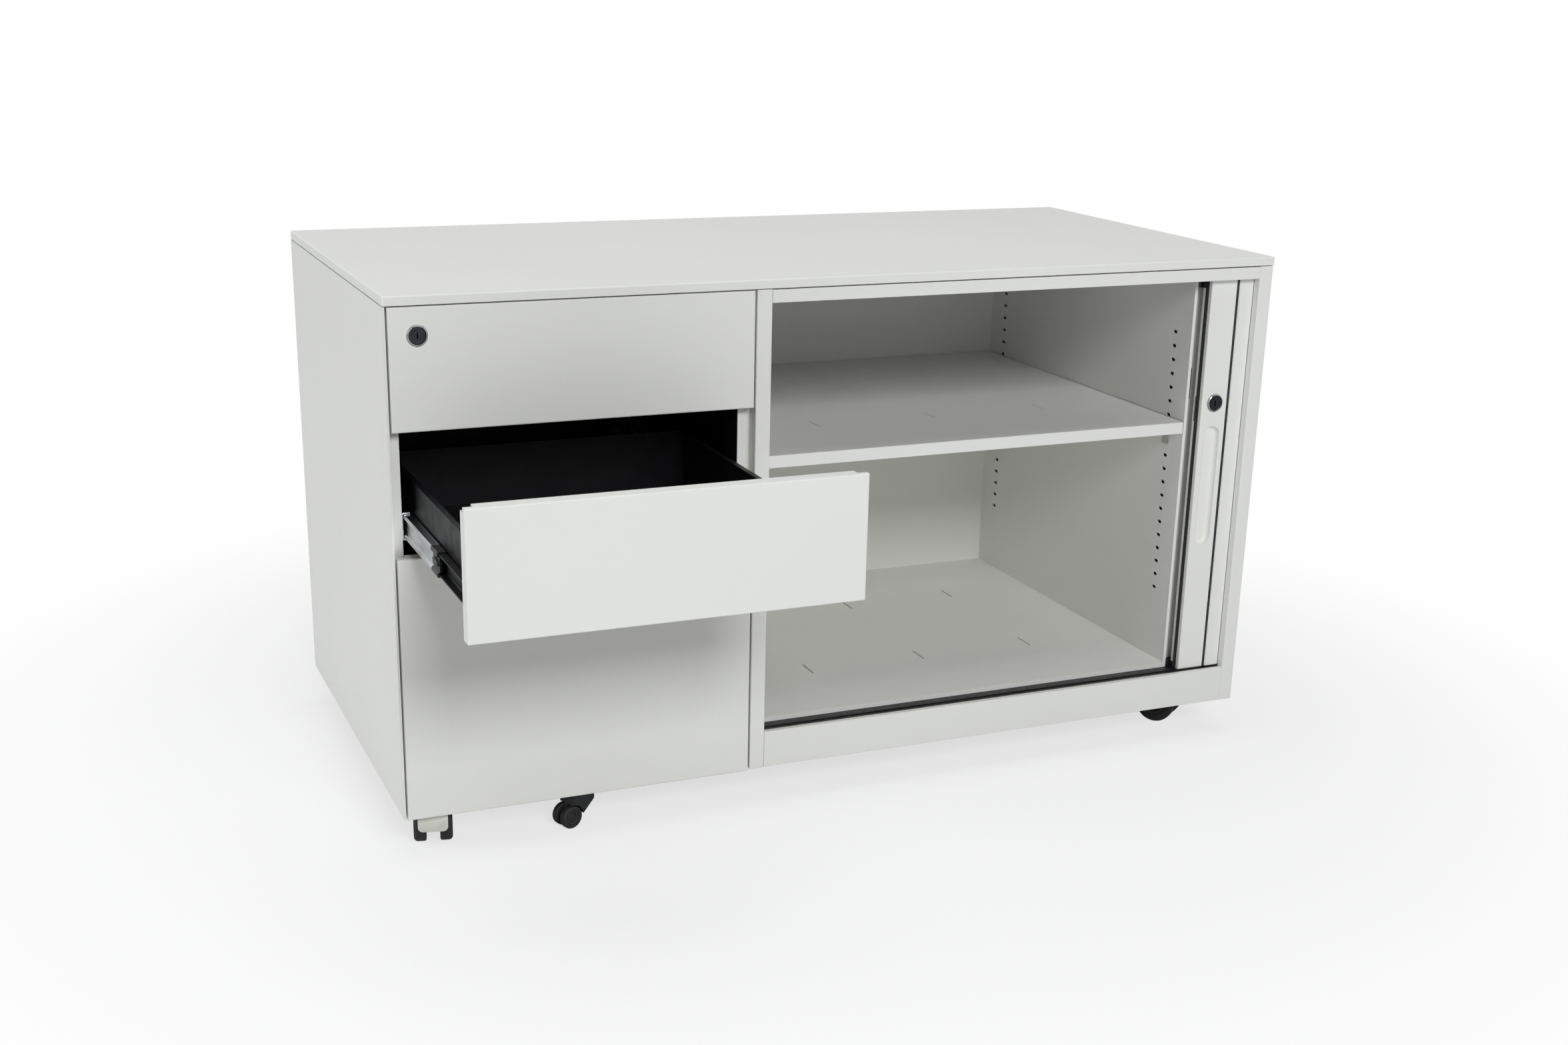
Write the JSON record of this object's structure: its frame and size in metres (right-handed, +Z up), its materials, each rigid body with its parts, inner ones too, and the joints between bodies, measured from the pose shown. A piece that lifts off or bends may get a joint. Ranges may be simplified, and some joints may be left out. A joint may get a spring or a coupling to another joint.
{
  "type": "mobile pedestal",
  "caption": "White steel mobile pedestal on castors: drawers with black trays beside a low cupboard with a shelf and a side-sliding tambour door, both lockable.",
  "frame": {"origin": "on the floor, under the middle of the carcass", "axes": "+X along the width, to the right seen from the front; +Y to the back; +Z up"},
  "size_m": [1.08, 0.8165, 0.615],
  "materials": {
    "white": "fine matt powder coat",
    "black_steel": "satin black paint",
    "zinc": "bright zinc plate",
    "chrome": "polished",
    "black_plastic": "moulded, matt",
    "black_rubber": "matt",
    "grey_plastic": "moulded, satin"
  },
  "bodies": {
    "carcass": {"top_panel": "white", "top_stiffeners": "zinc", "left_side": "white", "right_side": "white", "back_panel": "white", "base_panel": "black_steel", "divider": "white", "top_rail": "white", "plinth": "white", "cupboard_floor": "white", "right_liner": "white", "shelf": "white", "shelf_clips": "zinc", "bottom_track": "black_plastic", "top_track": "black_plastic", "slide_uprights": "white", "cabinet_rails": "zinc", "castor_plates": "zinc", "tambour_curtain": "white"},
    "tambour": {"tambour_stile": "white", "stile_edge_strip": "black_rubber", "stile_shoes": "black_plastic", "lock_2_housing": "chrome"},
    "lock_1_core": {"lock_1_plug": "chrome", "lock_1_cam": "zinc"},
    "lock_2_core": {"lock_2_plug": "chrome", "lock_2_bolt": "zinc"},
    "lock_bar": {"lock_bar": "zinc"},
    "drawer_1": {"drawer_1_front": "white", "drawer_1_tray": "black_steel", "drawer_1_rails": "black_steel", "lock_1_housing": "chrome"},
    "drawer_1_mid": {"drawer_1_mid_rails": "zinc", "drawer_1_slide_stops": "black_plastic"},
    "drawer_2": {"drawer_2_front": "white", "drawer_2_tray": "black_steel", "drawer_2_rails": "black_steel"},
    "drawer_2_mid": {"drawer_2_mid_rails": "zinc", "drawer_2_slide_stops": "black_plastic"},
    "drawer_3": {"drawer_3_front": "white", "drawer_3_tray": "black_steel", "drawer_3_rails": "black_steel", "file_rails": "zinc", "fifth_castor_bracket": "black_steel"},
    "drawer_3_mid": {"drawer_3_mid_rails": "zinc", "drawer_3_slide_stops": "black_plastic"},
    "castor_fl": {"castor_fl_body": "black_plastic"},
    "castor_fl_wheels": {"castor_fl_wheels": "black_rubber"},
    "castor_fl_brake": {"castor_fl_brake": "grey_plastic"},
    "castor_fr": {"castor_fr_body": "black_plastic"},
    "castor_fr_wheels": {"castor_fr_wheels": "black_rubber"},
    "castor_fr_brake": {"castor_fr_brake": "grey_plastic"},
    "castor_rl": {"castor_rl_body": "black_plastic"},
    "castor_rl_wheels": {"castor_rl_wheels": "black_rubber"},
    "castor_rr": {"castor_rr_body": "black_plastic"},
    "castor_rr_wheels": {"castor_rr_wheels": "black_rubber"},
    "castor_mid": {"castor_mid_body": "black_plastic"},
    "castor_mid_wheels": {"castor_mid_wheels": "black_rubber"}
  },
  "joints": [
    {"name": "drawer_1_slide", "type": "slide", "parent": "carcass", "child": "drawer_1", "axis": [0, -1, 0], "range_m": [0, 0.33]},
    {"name": "drawer_1_mid_slide", "type": "slide", "parent": "carcass", "child": "drawer_1_mid", "axis": [0, -1, 0], "range_m": [0, 0.165]},
    {"name": "drawer_2_slide", "type": "slide", "parent": "carcass", "child": "drawer_2", "axis": [0, -1, 0], "range_m": [-0.293, 0.037]},
    {"name": "drawer_2_mid_slide", "type": "slide", "parent": "carcass", "child": "drawer_2_mid", "axis": [0, -1, 0], "range_m": [-0.1465, 0.0185]},
    {"name": "drawer_3_slide", "type": "slide", "parent": "carcass", "child": "drawer_3", "axis": [0, -1, 0], "range_m": [0, 0.4]},
    {"name": "drawer_3_mid_slide", "type": "slide", "parent": "carcass", "child": "drawer_3_mid", "axis": [0, -1, 0], "range_m": [0, 0.2]},
    {"name": "tambour_slide", "type": "slide", "parent": "carcass", "child": "tambour", "axis": [-1, 0, 0], "range_m": [0, 0.5765], "deforming": ["tambour_curtain"]},
    {"name": "lock_1_turn", "type": "hinge", "parent": "drawer_1", "child": "lock_1_core", "pos_m": [-0.5057, -0.261, 0.5741], "axis": [0, 1, 0], "range_deg": [0, 90]},
    {"name": "lock_2_turn", "type": "hinge", "parent": "tambour", "child": "lock_2_core", "pos_m": [0.48025, -0.25, 0.4373], "axis": [0, 1, 0], "range_deg": [0, 90]},
    {"name": "lock_bar_drop", "type": "slide", "parent": "carcass", "child": "lock_bar", "axis": [0, 0, -1], "range_m": [0, 0.006]},
    {"name": "castor_fl_swivel", "type": "hinge", "parent": "carcass", "child": "castor_fl", "pos_m": [-0.495, -0.201, 0.05], "axis": [0, 0, 1], "continuous": true},
    {"name": "castor_fl_roll", "type": "hinge", "parent": "castor_fl", "child": "castor_fl_wheels", "pos_m": [-0.4995, -0.22049, 0.025], "axis": [0.9744, -0.225, 0], "continuous": true},
    {"name": "castor_fl_brake_press", "type": "hinge", "parent": "castor_fl", "child": "castor_fl_brake", "pos_m": [-0.4995, -0.22049, 0.025], "axis": [0.9744, -0.225, 0], "range_deg": [0, 12]},
    {"name": "castor_fr_swivel", "type": "hinge", "parent": "carcass", "child": "castor_fr", "pos_m": [0.495, -0.201, 0.05], "axis": [0, 0, 1], "continuous": true},
    {"name": "castor_fr_roll", "type": "hinge", "parent": "castor_fr", "child": "castor_fr_wheels", "pos_m": [0.48296, -0.18503, 0.025], "axis": [-0.7986, -0.6018, 0], "continuous": true},
    {"name": "castor_fr_brake_press", "type": "hinge", "parent": "castor_fr", "child": "castor_fr_brake", "pos_m": [0.48296, -0.18503, 0.025], "axis": [-0.7986, -0.6018, 0], "range_deg": [0, 12]},
    {"name": "castor_rl_swivel", "type": "hinge", "parent": "carcass", "child": "castor_rl", "pos_m": [-0.495, 0.2025, 0.05], "axis": [0, 0, 1], "continuous": true},
    {"name": "castor_rl_roll", "type": "hinge", "parent": "castor_rl", "child": "castor_rl_wheels", "pos_m": [-0.485, 0.21982, 0.025], "axis": [-0.866, 0.5, 0], "continuous": true},
    {"name": "castor_rr_swivel", "type": "hinge", "parent": "carcass", "child": "castor_rr", "pos_m": [0.495, 0.2025, 0.05], "axis": [0, 0, 1], "continuous": true},
    {"name": "castor_rr_roll", "type": "hinge", "parent": "castor_rr", "child": "castor_rr_wheels", "pos_m": [0.485, 0.21982, 0.025], "axis": [-0.866, -0.5, 0], "continuous": true},
    {"name": "castor_mid_swivel", "type": "hinge", "parent": "drawer_3", "child": "castor_mid", "pos_m": [-0.33605, -0.2365, 0.05], "axis": [0, 0, 1], "continuous": true},
    {"name": "castor_mid_roll", "type": "hinge", "parent": "castor_mid", "child": "castor_mid_wheels", "pos_m": [-0.35014, -0.24163, 0.014], "axis": [0.342, -0.9397, 0], "continuous": true}
  ],
  "couplings": [
    {"joint": "drawer_1_mid_slide", "follows": "drawer_1_slide", "ratio": 0.5},
    {"joint": "drawer_2_mid_slide", "follows": "drawer_2_slide", "ratio": 0.5},
    {"joint": "drawer_3_mid_slide", "follows": "drawer_3_slide", "ratio": 0.5},
    {"joint": "lock_1_turn", "follows": "lock_bar_drop", "rad_per_m": 261.79}
  ]
}
